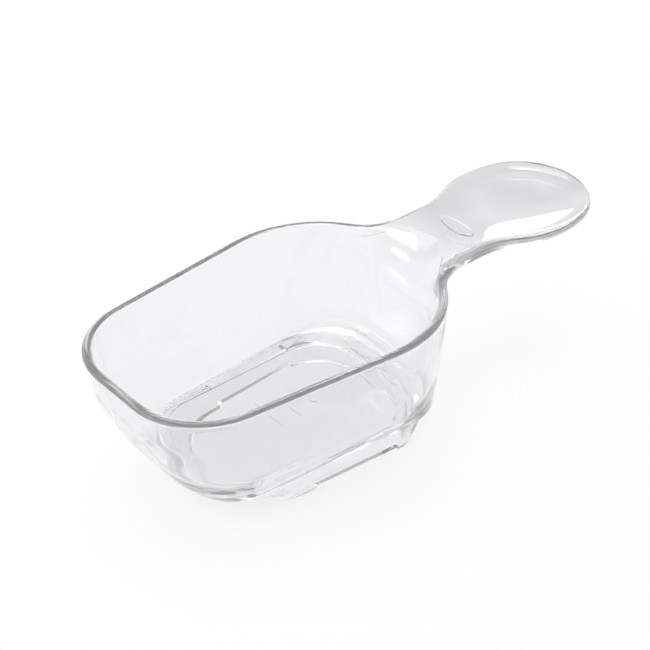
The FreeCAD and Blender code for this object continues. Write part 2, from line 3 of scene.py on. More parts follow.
import bmesh
import bpy
import numpy as np
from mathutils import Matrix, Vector


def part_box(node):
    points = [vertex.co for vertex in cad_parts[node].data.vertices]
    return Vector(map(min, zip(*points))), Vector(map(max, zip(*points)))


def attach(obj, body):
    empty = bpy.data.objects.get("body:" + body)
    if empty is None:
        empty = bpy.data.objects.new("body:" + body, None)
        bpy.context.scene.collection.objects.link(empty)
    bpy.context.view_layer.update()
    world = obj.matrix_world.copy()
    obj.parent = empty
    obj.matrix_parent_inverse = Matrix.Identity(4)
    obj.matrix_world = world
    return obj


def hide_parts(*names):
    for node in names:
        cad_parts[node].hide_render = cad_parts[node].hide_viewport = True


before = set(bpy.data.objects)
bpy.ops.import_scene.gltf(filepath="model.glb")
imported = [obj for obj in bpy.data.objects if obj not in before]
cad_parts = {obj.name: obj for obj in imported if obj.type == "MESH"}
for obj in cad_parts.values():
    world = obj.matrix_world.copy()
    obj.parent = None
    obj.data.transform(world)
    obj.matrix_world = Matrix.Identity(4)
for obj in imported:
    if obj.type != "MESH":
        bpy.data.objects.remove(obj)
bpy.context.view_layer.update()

MM = 0.001


def node_box(node):
    """A CAD node's lowest and highest corner, in millimetres."""
    low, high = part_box(node)
    return np.array(low) / MM, np.array(high) / MM


# ---- the bowl and its foot, in millimetres -------------------------------------------------------
RIM_Z = node_box("rim_lip")[1][2]
FLOOR_Z = node_box("bowl_wall")[0][2]
UNDER_Z = 8.0
WALL = 2.3
FOOT_WALL = 2.4

# An outline is its height, front x, back x, front and back corner centre y, and front and back
# corner radius. These are the outside, from the foot up to the rim.
OUTSIDE = np.array([
    (6.8, -60.1, 11.6, 7.9, 11.2, 13.2, 12.0),
    (10.8, -64.0, 12.8, 8.4, 9.1, 14.0, 15.9),
    (16.8, -68.1, 14.5, 8.7, 6.3, 15.3, 20.9),
    (24.8, -71.8, 16.2, 8.8, 3.6, 17.0, 25.9),
    (32.8, -74.1, 17.4, 8.3, 1.9, 18.7, 29.3),
    (41.0, -76.0, 18.5, 7.2, 0.5, 20.5, 31.5),
])
# The flat floor and the fillet around it. Above them the inside is the outside moved in.
INSIDE_LOW = np.array([
    (10.3, -55.7, 6.2, 7.8, 5.0, 12.2, 17.0),
    (10.47, -57.9, 7.7, 8.0, 6.1, 12.3, 16.4),
    (11.1, -59.8, 9.0, 8.1, 7.0, 12.1, 15.9),
    (13.0, -62.6, 10.8, 8.5, 7.4, 12.0, 16.2),
])
# The foot on the ground, where it meets the bowl, and the top of the hollow inside it.
FOOT = np.array((0.0, -52.3, 7.4, 2.5, 8.1, 18.3, 14.9))
FOOT_TOP = np.array((6.8, -59.8, 10.3, 6.8, 9.6, 14.0, 13.4))
HOLLOW_TOP = np.array((8.0, -56.3, 3.4, 5.6, 7.6, 13.6, 11.4))
MOVE_IN = np.array((0.0, 1.0, -1.0, 0.0, 0.0, -1.0, -1.0))
INSIDE = np.vstack([INSIDE_LOW, OUTSIDE[2:] + WALL * MOVE_IN])

# ---- the handle, in millimetres ------------------------------------------------------------------
TIP_X = node_box("thumb_rest")[1][0]
NECK_HALF = 12.8         # half width of the waist
WAIST_X = 24.1           # where the waist starts
REST_HALF = 18.1         # half width of the thumb rest
BOWL_FLARE, REST_FLARE, SHOULDER, TIP_ROUND = 14.0, 20.0, 30.0, 17.4    # radii of its edge in plan
TIP_CORNER = 50.0        # degrees to each side of the tip where its end row stops
DROOP, DROOP_FROM = 1.2, 20.0
NECK_HOLLOW = 0.75       # depth of the upper face along the neck
DISH_DEEPER = 1.35       # how much deeper it gets in the thumb dish
DISH_FROM, DISH_GROWS = 30.0, 24.0
DISH_MID, DISH_REACH = 56.0, 17.5
EDGE_FLAT = 2.6          # flat band along the edge
DISH_SOFT = 0.06         # rounds off where the hollow meets that band
BELLY, BELLY_FADE = 1.35, 6.0    # depth of the belly underneath, and stations over which it fades

# Profiles of the lip and of the handle's edge, as inset from the outline and depth under the top:
# on the rim, where the handle starts, and along the handle.
RIM_PROFILE = np.array([(2.3, 1.1), (2.06, 0.3), (1.45, 0.0), (0.85, 0.0), (0.24, 0.3), (0.0, 1.1),
                        (0.06, 1.9), (0.1, 2.8), (0.15, 3.8)])
ROOT_PROFILE = np.array([(2.05, 0.32), (1.72, 0.05), (1.3, 0.0), (0.85, 0.0), (0.24, 0.3),
                         (0.0, 1.1), (0.06, 1.9), (0.1, 2.8), (0.15, 3.8)])
EDGE_PROFILE = np.array([(3.8, 0.0), (2.9, 0.0), (1.9, 0.0), (1.0, 0.04), (0.25, 0.35), (0.0, 1.1),
                         (0.0, 1.8), (0.35, 2.6), (1.3, 3.0)])
DISHED_ROWS = 3          # rows of a profile that lie on the handle's upper face
FIRST_WALL_ROW = 6       # first row of a profile that lies on the bowl's wall
ROOT_BLEND, EDGE_BLEND = 9.0, 12.0

# How far the fillets over and under the root of the handle reach down the back wall. The upper one
# has its reach at the edges of the handle, and what the middle adds to that.
SADDLE_EDGE, SADDLE_MIDDLE = 1.25, 4.6
ROOT_REACH = 7.0
ROOT_FULLNESS = 0.7                      # under 1 keeps their reach further out from the middle
TOP_BULGE, UNDER_BULGE = 9.2, 12.0       # how far the face's rows bow towards the tip at the root
BULGE_FADE = 12.0                        # stations over which that fades
TIP_BULGE, TIP_BULGE_FROM = 5.0, 9.0     # the same near the tip, and the station it starts at

# ---- rows and columns of the control cage --------------------------------------------------------
SECTOR = 12          # columns of the bowl that run on into the handle
SIDE = 20            # columns along each side
FRONT = 12           # columns across the front
COLUMNS = SECTOR + 2 * SIDE + FRONT
STATIONS = 18        # steps along each edge of the handle
RIM_COLUMNS = [(SECTOR + i) % COLUMNS for i in range(COLUMNS - SECTOR + 1)]
FRONT_CORNER = 0.42  # share of the front run where the side columns end
ARC_STEPS = 60

INSIDE_PLACES = (0, 1, 2, 2.5, 3, 3.5, 4, 4.5)
# Heights of further rows, and how much of the dip under the handle each one follows.
INSIDE_ROWS = ((28.4, 0.15), (31.8, 0.4), (34.6, 0.65), (37.0, 0.85), (39.0, 1.0))
OUTSIDE_ROWS = ((35.2, 1.0), (32.0, 0.8), (28.4, 0.6), (24.8, 0.38), (21.0, 0.18), (17.2, 0.05),
                (13.8, 0.0), (10.8, 0.0), (8.6, 0.0), (7.2, 0.0))


# ---- curves --------------------------------------------------------------------------------------
def smooth_step(x):
    x = np.clip(x, 0.0, 1.0)
    return x * x * (3.0 - 2.0 * x)


def soft_positive(value, softness):
    return 0.5 * (value + np.sqrt(value * value + softness * softness))


def through(knots, places):
    """Rows of a table at fractional row numbers, along a natural cubic spline."""
    steps = np.linalg.norm(np.diff(knots[:, :3], axis=0), axis=1)
    count = len(knots)
    system = np.eye(count)
    pull = np.zeros_like(knots)
    for i in range(1, count - 1):
        system[i, i - 1:i + 2] = steps[i - 1], 2 * (steps[i - 1] + steps[i]), steps[i]
        slopes = (knots[i + 1] - knots[i]) / steps[i], (knots[i] - knots[i - 1]) / steps[i - 1]
        pull[i] = 6 * (slopes[0] - slopes[1])
    bend = np.linalg.solve(system, pull)
    rows = []
    for place in places:
        i = min(int(place), count - 2)
        b = place - i
        a = 1.0 - b
        curve = (a ** 3 - a) * bend[i] + (b ** 3 - b) * bend[i + 1]
        rows.append(a * knots[i] + b * knots[i + 1] + curve * steps[i] * steps[i] / 6)
    return np.array(rows)


def at_height(knots, z):
    """The outline at one height, found by halving the interval that holds it."""
    i = min(max(int(np.searchsorted(knots[:, 0], z)) - 1, 0), len(knots) - 2)
    low, high = float(i), float(i + 1)
    for _ in range(30):
        middle = (low + high) / 2
        if through(knots, [middle])[0][0] < z:
            low = middle
        else:
            high = middle
    return through(knots, [(low + high) / 2])[0]


def arc_points(cx, cy, radius, start, end, count):
    angles = np.linspace(start, end, count)
    return np.stack([cx + radius * np.cos(angles), cy + radius * np.sin(angles)], 1)


def run_lengths(points):
    """Length along a run of points, at each of them."""
    return np.concatenate([[0.0], np.cumsum(np.linalg.norm(np.diff(points, axis=0), axis=1))])


def along_run(points, share):
    lengths = run_lengths(points)
    place = share * lengths[-1]
    return np.array([np.interp(place, lengths, points[:, k]) for k in (0, 1)])


# ---- outlines of the bowl ------------------------------------------------------------------------
def half_outline(section):
    """One bowl outline for y > 0, from its back to its front: three dense runs of points."""
    _, front, back, front_cy, back_cy, front_rad, back_rad = section
    front_x, back_x = front + front_rad, back - back_rad
    run, rise = back_x - front_x, back_cy - front_cy
    tilt = math.atan2(rise, run) + math.asin((back_rad - front_rad) / math.hypot(run, rise))
    normal = math.pi / 2 + tilt
    back_arc = arc_points(back_x, back_cy, back_rad, 0.0, normal, ARC_STEPS)
    front_arc = arc_points(front_x, front_cy, front_rad, normal, math.pi, ARC_STEPS)
    back_group = np.vstack([[(back, 0.0)], back_arc])
    front_group = np.vstack([front_arc, [(front, 0.0)]])
    side = np.vstack([back_group[-1], front_group[0]])
    return [back_group, side, front_group]


def handle_arcs():
    """The handle's edge for y > 0 as arcs that run into each other, from the bowl to the tip:
    centre x, centre y, radius, start and end angle, and 1 where the arc bulges out of the plastic
    or -1 where it is hollow."""
    _, _, back, _, back_cy, _, back_rad = OUTSIDE[-1]
    flare_cy, rest_cy, shoulder_cy = NECK_HALF + BOWL_FLARE, NECK_HALF + REST_FLARE, REST_HALF - SHOULDER
    tip_cx = TIP_X - TIP_ROUND
    shoulder_cx = tip_cx - math.sqrt((SHOULDER - TIP_ROUND) ** 2 - shoulder_cy ** 2)
    rest_cx = shoulder_cx - math.sqrt((SHOULDER + REST_FLARE) ** 2 - (rest_cy - shoulder_cy) ** 2)
    to_bowl = math.degrees(math.atan2(flare_cy - back_cy, WAIST_X - (back - back_rad)))
    to_shoulder = math.degrees(math.atan2(rest_cy - shoulder_cy, shoulder_cx - rest_cx))
    to_tip = math.degrees(math.atan2(-shoulder_cy, tip_cx - shoulder_cx))
    return ((WAIST_X, flare_cy, BOWL_FLARE, 180.0 + to_bowl, 270.0, -1),
            (rest_cx, rest_cy, REST_FLARE, 270.0, 360.0 - to_shoulder, -1),
            (shoulder_cx, shoulder_cy, SHOULDER, 180.0 - to_shoulder, to_tip, 1),
            (tip_cx, 0.0, TIP_ROUND, to_tip, TIP_CORNER, 1))


HANDLE_ARCS = handle_arcs()


def column_places():
    """Where each column of the half bowl lies: the number of its run and the share along it."""
    lengths = [run_lengths(run)[-1] for run in half_outline(OUTSIDE[-1])]
    back_cy, back_rad = OUTSIDE[-1][4], OUTSIDE[-1][6]
    joint = back_cy + back_rad * math.radians(HANDLE_ARCS[0][3] - 180.0)
    corner = lengths[0] + lengths[1] + FRONT_CORNER * lengths[2]
    stops = np.concatenate([np.linspace(0, joint, SECTOR // 2 + 1),
                            np.linspace(joint, corner, SIDE + 1)[1:],
                            np.linspace(corner, sum(lengths), FRONT // 2 + 1)[1:]])
    places = []
    for stop in stops:
        number = 0
        while number < 2 and stop > lengths[number]:
            stop -= lengths[number]
            number += 1
        places.append((number, min(stop / lengths[number], 1.0)))
    return places


PLACES = column_places()


def ring(section, z=None):
    """One point per column around a bowl outline, counter-clockwise from where the handle's
    sector starts."""
    runs = half_outline(section)
    height = section[0] if z is None else z
    middle = SECTOR // 2
    points = np.zeros((COLUMNS, 3))
    for i, (number, share) in enumerate(PLACES):
        x, y = along_run(runs[number], share)
        points[(middle + i) % COLUMNS] = (x, y, height)
        points[(middle - i) % COLUMNS] = (x, -y, height)
    return points


def ring_at(knots, heights):
    """One point per column on a bowl surface, each at its own height."""
    return [ring(at_height(knots, z))[column] for column, z in enumerate(heights)]


def root_share():
    """1 in the middle of the handle's sector of the bowl, falling to 0 at its edges and beyond."""
    share = np.zeros(COLUMNS)
    for j in range(SECTOR + 1):
        f = 2 * j / SECTOR - 1
        share[j] = (1 - f * f) ** ROOT_FULLNESS
    return share


# ---- edge and faces of the handle ----------------------------------------------------------------
def handle_outline():
    """The handle's edge for y > 0 from the bowl to the corner of the tip, with outward normals."""
    points, normals = [], []
    for cx, cy, radius, start, end, side in HANDLE_ARCS:
        angles = np.radians(np.linspace(start, end, ARC_STEPS))
        spokes = np.stack([np.cos(angles), np.sin(angles)], 1)
        points.append(np.array((cx, cy)) + radius * spokes)
        normals.append(side * spokes)
    return np.vstack(points), np.vstack(normals)


EDGE, EDGE_NORMALS = handle_outline()
EDGE_LENGTHS = run_lengths(EDGE)


def edge_at(length):
    point = np.array([np.interp(length, EDGE_LENGTHS, EDGE[:, k]) for k in (0, 1)])
    normal = np.array([np.interp(length, EDGE_LENGTHS, EDGE_NORMALS[:, k]) for k in (0, 1)])
    return point, normal / np.linalg.norm(normal)


def edge_top(x):
    """Height of the handle's upper edge, which droops a little towards the tip."""
    return RIM_Z - DROOP * np.clip((x - DROOP_FROM) / (TIP_X - DROOP_FROM), 0.0, None) ** 2


def handle_top(x, y):
    """Height of the handle's upper face: a hollow neck that opens into the thumb dish."""
    half = np.interp(x, EDGE[:, 0], EDGE[:, 1]) - EDGE_FLAT
    across = soft_positive(1.0 - (y / half) ** 2, DISH_SOFT)
    along = 1.0
    if x > DISH_MID:
        along = soft_positive(1.0 - ((x - DISH_MID) / DISH_REACH) ** 2, DISH_SOFT)
    depth = NECK_HOLLOW + DISH_DEEPER * smooth_step((x - DISH_FROM) / DISH_GROWS)
    return edge_top(x) - depth * across * along


def top_face(x, y, f, station):
    return handle_top(x, y)


def underside(x, y, f, station):
    """Height of the handle's underside, with f from -1 to 1 across it."""
    belly = BELLY * (1 - f * f) * smooth_step((STATIONS - station) / BELLY_FADE)
    return edge_top(x) - EDGE_PROFILE[-1][1] - belly


# ---- the control cage ----------------------------------------------------------------------------
class Cage:
    """Control points and quads of the moulding."""

    def __init__(self):
        self.points = []
        self.faces = []

    def add(self, point):
        self.points.append(tuple(float(value) for value in point))
        return len(self.points) - 1

    def add_row(self, points):
        return [self.add(point) for point in points]

    def place(self, index):
        return np.array(self.points[index])

    def strip(self, first, second, closed=False):
        count = len(first)
        for i in range(count if closed else count - 1):
            n = (i + 1) % count
            self.faces.append((first[i], first[n], second[n], second[i]))

    def tube(self, rows):
        for first, second in zip(rows, rows[1:]):
            self.strip(first, second, closed=True)

    def fill(self, loop, z):
        """Close a loop of the bowl's columns with a grid of quads."""
        grid = [[None] * (SIDE + 1) for _ in range(SECTOR + 1)]
        for a in range(SECTOR + 1):
            grid[a][0] = loop[a]
            grid[a][SIDE] = loop[SECTOR + SIDE + FRONT - a]
        for b in range(SIDE + 1):
            grid[SECTOR][b] = loop[SECTOR + b]
            grid[0][b] = loop[-b % COLUMNS]
        corners = [[self.place(grid[a][b]) for b in (0, SIDE)] for a in (0, SECTOR)]
        for a in range(1, SECTOR):
            u = a / SECTOR
            for b in range(1, SIDE):
                v = b / SIDE
                across = (1 - u) * self.place(grid[0][b]) + u * self.place(grid[SECTOR][b])
                along = (1 - v) * self.place(grid[a][0]) + v * self.place(grid[a][SIDE])
                both = ((1 - u) * (1 - v) * corners[0][0] + u * (1 - v) * corners[1][0]
                        + (1 - u) * v * corners[0][1] + u * v * corners[1][1])
                x, y, _ = across + along - both
                grid[a][b] = self.add((x, y, z))
        for a in range(SECTOR):
            self.strip(grid[a], grid[a + 1])


def bowl_inside(cage, share):
    """From the flat floor upwards. The upper rows dip under the saddle. Gives its top row."""
    saddle_start = RIM_Z - NECK_HOLLOW * share - SADDLE_EDGE - SADDLE_MIDDLE * share
    dip = np.maximum(INSIDE_ROWS[-1][0] - saddle_start, 0) * share ** 0.5
    rings = [ring(section) for section in through(INSIDE, INSIDE_PLACES)]
    rings += [ring_at(INSIDE, z - follow * dip) for z, follow in INSIDE_ROWS]
    rows = [cage.add_row(points) for points in rings]
    cage.tube(rows)
    cage.fill(rows[0], rings[0][0][2])
    return rows[-1]


def rim_line(row):
    """A row of the ribbon along the rim, from one side of the handle round to the other."""
    gap = run_lengths(ring(OUTSIDE[-1])[SECTOR:SECTOR + 2])[-1]
    last = len(RIM_COLUMNS) - 1
    line = []
    for i, column in enumerate(RIM_COLUMNS):
        blend = smooth_step(1 - min(i, last - i) * gap / ROOT_BLEND)
        inset, depth = (1 - blend) * RIM_PROFILE[row] + blend * ROOT_PROFILE[row]
        section = OUTSIDE[-1] + inset * MOVE_IN
        if row >= FIRST_WALL_ROW:
            section = at_height(OUTSIDE, RIM_Z - depth)
        line.append(ring(section, RIM_Z - depth)[column])
    return line


def edge_point(row, x, y, depth):
    top = handle_top(x, y) if row < DISHED_ROWS else edge_top(x)
    return (x, y, top - depth)


def side_line(row):
    """A row of the ribbon along the handle's edge for y > 0, from the bowl to the tip's corner."""
    line = []
    for station in range(1, STATIONS + 1):
        length = station * EDGE_LENGTHS[-1] / STATIONS
        blend = smooth_step(length / EDGE_BLEND)
        inset, depth = (1 - blend) * ROOT_PROFILE[row] + blend * EDGE_PROFILE[row]
        point, normal = edge_at(length)
        line.append(edge_point(row, *(point - normal * inset), depth))
    return line


def tip_line(row):
    """A row of the ribbon around the tip, from y > 0 to y < 0, without its corners."""
    inset, depth = EDGE_PROFILE[row]
    cx, cy, radius = HANDLE_ARCS[-1][:3]
    line = []
    for i in range(1, SECTOR):
        angle = math.radians(TIP_CORNER * (1 - 2 * i / SECTOR))
        x, y = cx + (radius - inset) * math.cos(angle), cy + (radius - inset) * math.sin(angle)
        line.append(edge_point(row, x, y, depth))
    return line


def edge_ribbon(cage):
    """The rim's lip and the handle's edge in one closed strip, from its upper row to its lowest."""
    rows = []
    for row in range(len(RIM_PROFILE)):
        side = side_line(row)
        mirrored = [(x, -y, z) for x, y, z in side]
        rows.append(cage.add_row(rim_line(row) + mirrored + tip_line(row)[::-1] + side[::-1]))
    cage.tube(rows)
    return rows


def handle_ends(line, i):
    """The ribbon's points at both ends of handle row i: y < 0 first."""
    return line[len(RIM_COLUMNS) - 1 + i], line[-i]


def handle_face(cage, line, bowl_row, height, root_bulge):
    """The face between the two edges of the handle, from a row of the bowl to the tip."""
    grid = [None]
    for i in range(1, STATIONS):
        low, high = handle_ends(line, i)
        end = cage.place(high)
        near_tip = smooth_step((i - TIP_BULGE_FROM) / (STATIONS - TIP_BULGE_FROM)) ** 1.5
        bulge = root_bulge * (1 - smooth_step((i - 0.5) / BULGE_FADE)) + TIP_BULGE * near_tip
        row = [low]
        for j in range(1, SECTOR):
            f = 2 * j / SECTOR - 1
            x, y = end[0] + bulge * (1 - f * f), end[1] * f
            row.append(cage.add((x, y, height(x, y, f, i))))
        grid.append(row + [high])
    start = len(RIM_COLUMNS) - 1 + STATIONS
    grid.append(line[start:start + SECTOR + 1])
    # the row halfway round the fillet at the root
    low, high = handle_ends(line, 0)
    out, up = 1 - math.cos(math.pi / 4), math.sin(math.pi / 4)
    turn = [low]
    for j in range(1, SECTOR):
        wall = cage.place(bowl_row[j])
        reach = cage.place(grid[1][j]) - wall
        turn.append(cage.add(wall + reach * (out, out, up)))
    grid[0] = turn + [high]
    for first, second in zip(grid, grid[1:]):
        cage.strip(first, second)
    cage.strip(bowl_row[:SECTOR + 1], grid[0])


def bowl_outside(cage, share):
    """From under the lip down to where the foot starts. Gives all its rows."""
    drop = ROOT_REACH * share
    rows = [cage.add_row(ring_at(OUTSIDE, z - follow * drop)) for z, follow in OUTSIDE_ROWS]
    cage.tube(rows)
    return rows


def foot(cage, bowl_row):
    """The step under the wall, the foot ring and the hollow inside it, up to the floor."""
    ground = FOOT + FOOT_WALL * MOVE_IN

    def foot_at(z, inset=0.0):
        return FOOT + z / FOOT_TOP[0] * (FOOT_TOP - FOOT) + inset * MOVE_IN

    def hollow_at(share):
        return ground + share * (HOLLOW_TOP - ground)

    step = 0.6 * at_height(OUTSIDE, OUTSIDE_ROWS[-1][0]) + 0.4 * foot_at(FOOT_TOP[0])
    outlines = [(step, 6.78), (foot_at(6.5), 6.45)]
    outlines += [(foot_at(z), z) for z in (6.0, 5.3, 3.2, 0.9)]
    outlines += [(foot_at(0.2, 0.08), 0.2), (foot_at(0.0, 0.45), 0.0), (foot_at(0.0, 1.95), 0.0),
                 (FOOT + (FOOT_WALL - 0.08) * MOVE_IN, 0.2)]
    outlines += [(hollow_at(share), z) for share, z in
                 ((0.1, 0.9), (0.4, 3.4), (0.72, 6.0), (0.88, 7.2))]
    outlines += [(HOLLOW_TOP + inset * MOVE_IN, z) for inset, z in
                 ((0.25, UNDER_Z - 0.2), (1.1, UNDER_Z), (3.0, UNDER_Z))]
    rows = [bowl_row] + [cage.add_row(ring(section, z)) for section, z in outlines]
    cage.tube(rows)
    cage.fill(rows[-1], UNDER_Z)


def make_cage():
    cage = Cage()
    share = root_share()
    inside_top = bowl_inside(cage, share)
    ribbon = edge_ribbon(cage)
    handle_face(cage, ribbon[0], inside_top, top_face, TOP_BULGE)
    outside = bowl_outside(cage, share)
    handle_face(cage, ribbon[-1], outside[0], underside, UNDER_BULGE)
    for line, row in ((ribbon[0], inside_top), (ribbon[-1], outside[0])):
        cage.strip(line[:len(RIM_COLUMNS)], [row[column] for column in RIM_COLUMNS])
    foot(cage, outside[-1])
    return cage


def sharpen(cage):
    """Push the control points out once, so that the smoothed surface lies where they were."""
    points = np.array(cage.points)
    ring_sum, face_sum = np.zeros_like(points), np.zeros_like(points)
    valence = np.zeros(len(points))
    for face in cage.faces:
        for i, vertex in enumerate(face):
            ring_sum[vertex] += points[face[i - 1]] + points[face[(i + 1) % 4]]
            face_sum[vertex] += points[face[(i + 2) % 4]]
            valence[vertex] += 1
    n = valence[:, None]
    limit = (n * n * points + 2 * ring_sum + face_sum) / (n * (n + 5))
    cage.points = [tuple(point) for point in 2 * points - limit]


# ---- meshes --------------------------------------------------------------------------------------
def mesh_object(name, points, faces):
    mesh = bpy.data.meshes.new(name)
    mesh.from_pydata([tuple(value * MM for value in point) for point in points], [], faces)
    work = bmesh.new()
    work.from_mesh(mesh)
    bmesh.ops.recalc_face_normals(work, faces=work.faces)
    work.to_mesh(mesh)
    work.free()
    piece = bpy.data.objects.new(name, mesh)
    bpy.context.scene.collection.objects.link(piece)
    return piece


def applied(piece):
    """Replace an object's mesh by what its modifiers make of it."""
    bpy.context.view_layer.update()
    shown = piece.evaluated_get(bpy.context.evaluated_depsgraph_get())
    mesh = bpy.data.meshes.new_from_object(shown)
    piece.modifiers.clear()
    piece.data = mesh


def cut_or_join(piece, tool, operation):
    modifier = piece.modifiers.new(operation.lower(), "BOOLEAN")
    modifier.operation = operation
    modifier.solver = "EXACT"
    modifier.object = tool
    applied(piece)
    bpy.data.objects.remove(tool)


def smooth_moulding():
    cage = make_cage()
    sharpen(cage)
    piece = mesh_object("scoop_moulding", cage.points, cage.faces)
    subsurf = piece.modifiers.new("smooth", "SUBSURF")
    subsurf.levels = subsurf.render_levels = 2
    subsurf.boundary_smooth = "ALL"
    applied(piece)
    return piece


# ---- relief notches under the long sides of the foot ---------------------------------------------
NOTCH_FRONT, NOTCH_BACK, NOTCH_TOP, NOTCH_ROUND = -32.0, -6.0, 1.4, 0.5
NOTCH_LOW, NOTCH_FAR = -2.0, 40.0        # the cutting bar's lower side, and how far out it goes


def notch_tool():
    """A long bar across the foot, with rounded upper edges."""
    arc = arc_points(0.0, 0.0, NOTCH_ROUND, 0.0, math.pi / 2, 5)
    profile = [(NOTCH_BACK, NOTCH_LOW)]
    profile += [(NOTCH_BACK - NOTCH_ROUND + dx, NOTCH_TOP - NOTCH_ROUND + dz) for dx, dz in arc]
    profile += [(NOTCH_FRONT + NOTCH_ROUND - dx, NOTCH_TOP - NOTCH_ROUND + dz)
                for dx, dz in arc[::-1]]
    profile += [(NOTCH_FRONT, NOTCH_LOW)]
    count = len(profile)
    points = [(x, y, z) for y in (-NOTCH_FAR, NOTCH_FAR) for x, z in profile]
    faces = [tuple(range(count)), tuple(range(2 * count - 1, count - 1, -1))]
    faces += [(i, (i + 1) % count, count + (i + 1) % count, count + i) for i in range(count)]
    return mesh_object("notch_tool", points, faces)


# ---- raised oval on the neck and bars on the floor -----------------------------------------------
BADGE_LOW, BADGE_HIGH = node_box("neck_badge")
BADGE_HALF, BADGE_RISE = (2.3, 6.0), 0.35
MARK_COUNT, MARK_FIRST, MARK_GAP, MARK_RISE = 3, -30.0, 6.0, 0.16
MARK_HALF_WIDE, MARK_HALF_LONG, MARK_SHORTER = 0.6, 6.0, 1.5
PAD_SINK = 0.5       # how deep a pad reaches into the plastic under it
# Share of the outline and share of the rise, from the foot of a pad's soft edge to its flat top.
PAD_LEVELS = ((1.0, 0.45), (0.965, 0.85), (0.9, 1.0), (0.5, 1.0))


def raised_pad(outline, height_at, rise):
    """Points and faces of a low pad with soft edges that follows a surface."""
    centre = np.mean(outline, axis=0)
    levels = [(1.0, -PAD_SINK)] + [(share, lift * rise) for share, lift in PAD_LEVELS]
    points, faces = [], []
    count = len(outline)
    for share, lift in levels:
        for place in outline:
            x, y = centre + (place - centre) * share
            points.append((x, y, height_at(x, y) + lift))
    points.append((*centre, height_at(*centre) + rise))
    points.append((*centre, height_at(*centre) - PAD_SINK))
    for level in range(len(levels) - 1):
        for i in range(count):
            n = (i + 1) % count
            a, b = level * count, (level + 1) * count
            faces.append((a + i, a + n, b + n, b + i))
    top = (len(levels) - 1) * count
    for i in range(count):
        n = (i + 1) % count
        faces.append((top + i, top + n, len(points) - 2))
        faces.append((n, i, len(points) - 1))
    return points, faces


def oval(cx, half_x, half_y, count=48):
    angles = np.linspace(0, 2 * math.pi, count, endpoint=False)
    return np.stack([cx + half_x * np.cos(angles), half_y * np.sin(angles)], 1)


def bar_outline(cx, half_x, half_y, count=8):
    """A bar across the bowl with rounded ends."""
    middle = half_y - half_x
    return np.vstack([arc_points(cx, side * middle, half_x, start, start + math.pi, count)
                      for side, start in ((1, 0.0), (-1, math.pi))])


def floor_top(x, y):
    return FLOOR_Z


def raised_pads():
    badge_x = (BADGE_LOW[0] + BADGE_HIGH[0]) / 2
    pads = [raised_pad(oval(badge_x, *BADGE_HALF), handle_top, BADGE_RISE)]
    for number in range(MARK_COUNT):
        half_long = MARK_HALF_LONG - MARK_SHORTER * number
        bar = bar_outline(MARK_FIRST + MARK_GAP * number, MARK_HALF_WIDE, half_long)
        pads.append(raised_pad(bar, floor_top, MARK_RISE))
    return pads


# ---- materials -----------------------------------------------------------------------------------
def grey(value):
    return (value, value, value, 1.0)


def add_node(tree, kind, values=None, sources=None, **settings):
    """A shader node with its settings, its inputs' values, and the sockets that feed its inputs."""
    node = tree.nodes.new(kind)
    for name, value in settings.items():
        setattr(node, name, value)
    for name, value in (values or {}).items():
        node.inputs[name].default_value = value
    for name, socket in (sources or {}).items():
        tree.links.new(socket, node.inputs[name])
    return node


def noise(tree, place, scale, detail):
    node = add_node(tree, "ShaderNodeTexNoise", {"Scale": scale, "Detail": detail}, {"Vector": place})
    return node.outputs["Fac"]


def handle_darkening(tree, place):
    """0 on the bowl, rising along the root of the handle, in soft clouds: where the plastic's tint turns
    darker.
    """
    split = add_node(tree, "ShaderNodeSeparateXYZ", sources={"Vector": place})
    along = add_node(tree, "ShaderNodeMapRange", {"From Min": 0.012, "From Max": 0.034},
                     {"Value": split.outputs["X"]}, interpolation_type="SMOOTHSTEP")
    clouds = add_node(tree, "ShaderNodeMapRange",
                      {"From Min": 0.35, "From Max": 0.65, "To Min": 0.55},
                      {"Value": noise(tree, place, 55.0, 1.0)})
    both = add_node(tree, "ShaderNodeMath", operation="MULTIPLY",
                    sources={0: along.outputs["Result"], 1: clouds.outputs["Result"]})
    return both.outputs["Value"]


def clear_plastic():
    material = bpy.data.materials.new("clear_plastic")
    material.use_nodes = True
    tree = material.node_tree
    plastic = tree.nodes["Principled BSDF"]
    # a little less than full transmission is the slight haze of moulded plastic
    plastic.inputs["Transmission Weight"].default_value = 0.95
    plastic.inputs["IOR"].default_value = 1.57
    place = add_node(tree, "ShaderNodeTexCoord").outputs["Object"]

    rough = add_node(tree, "ShaderNodeMapRange", {"To Min": 0.0, "To Max": 0.03},
                     {"Value": noise(tree, place, 60.0, 2.0)})
    tree.links.new(rough.outputs["Result"], plastic.inputs["Roughness"])

    # the slow waviness that moulded plastic has
    waves = add_node(tree, "ShaderNodeBump", {"Strength": 1.0, "Distance": 0.00006},
                     {"Height": noise(tree, place, 110.0, 1.0)})
    tree.links.new(waves.outputs["Normal"], plastic.inputs["Normal"])

    # the plastic's tint, turning darker over the handle where the mask above rises
    tint = add_node(tree, "ShaderNodeValToRGB", sources={"Fac": handle_darkening(tree, place)})
    tint.color_ramp.elements[0].color = (0.915, 0.915, 0.93, 1.0)
    tint.color_ramp.elements[1].color = (0.72, 0.72, 0.74, 1.0)
    tree.links.new(tint.outputs["Color"], plastic.inputs["Base Color"])

    # shadows and diffuse light pass straight through, nearly unchanged
    clear = add_node(tree, "ShaderNodeBsdfTransparent", {"Color": grey(0.955)})
    path = add_node(tree, "ShaderNodeLightPath")
    either = add_node(tree, "ShaderNodeMath", operation="MAXIMUM",
                      sources={0: path.outputs["Is Shadow Ray"], 1: path.outputs["Is Diffuse Ray"]})
    mix = add_node(tree, "ShaderNodeMixShader",
                   sources={"Fac": either.outputs["Value"], 1: plastic.outputs["BSDF"],
                            2: clear.outputs["BSDF"]})
    tree.links.new(mix.outputs["Shader"], tree.nodes["Material Output"].inputs["Surface"])
    return material


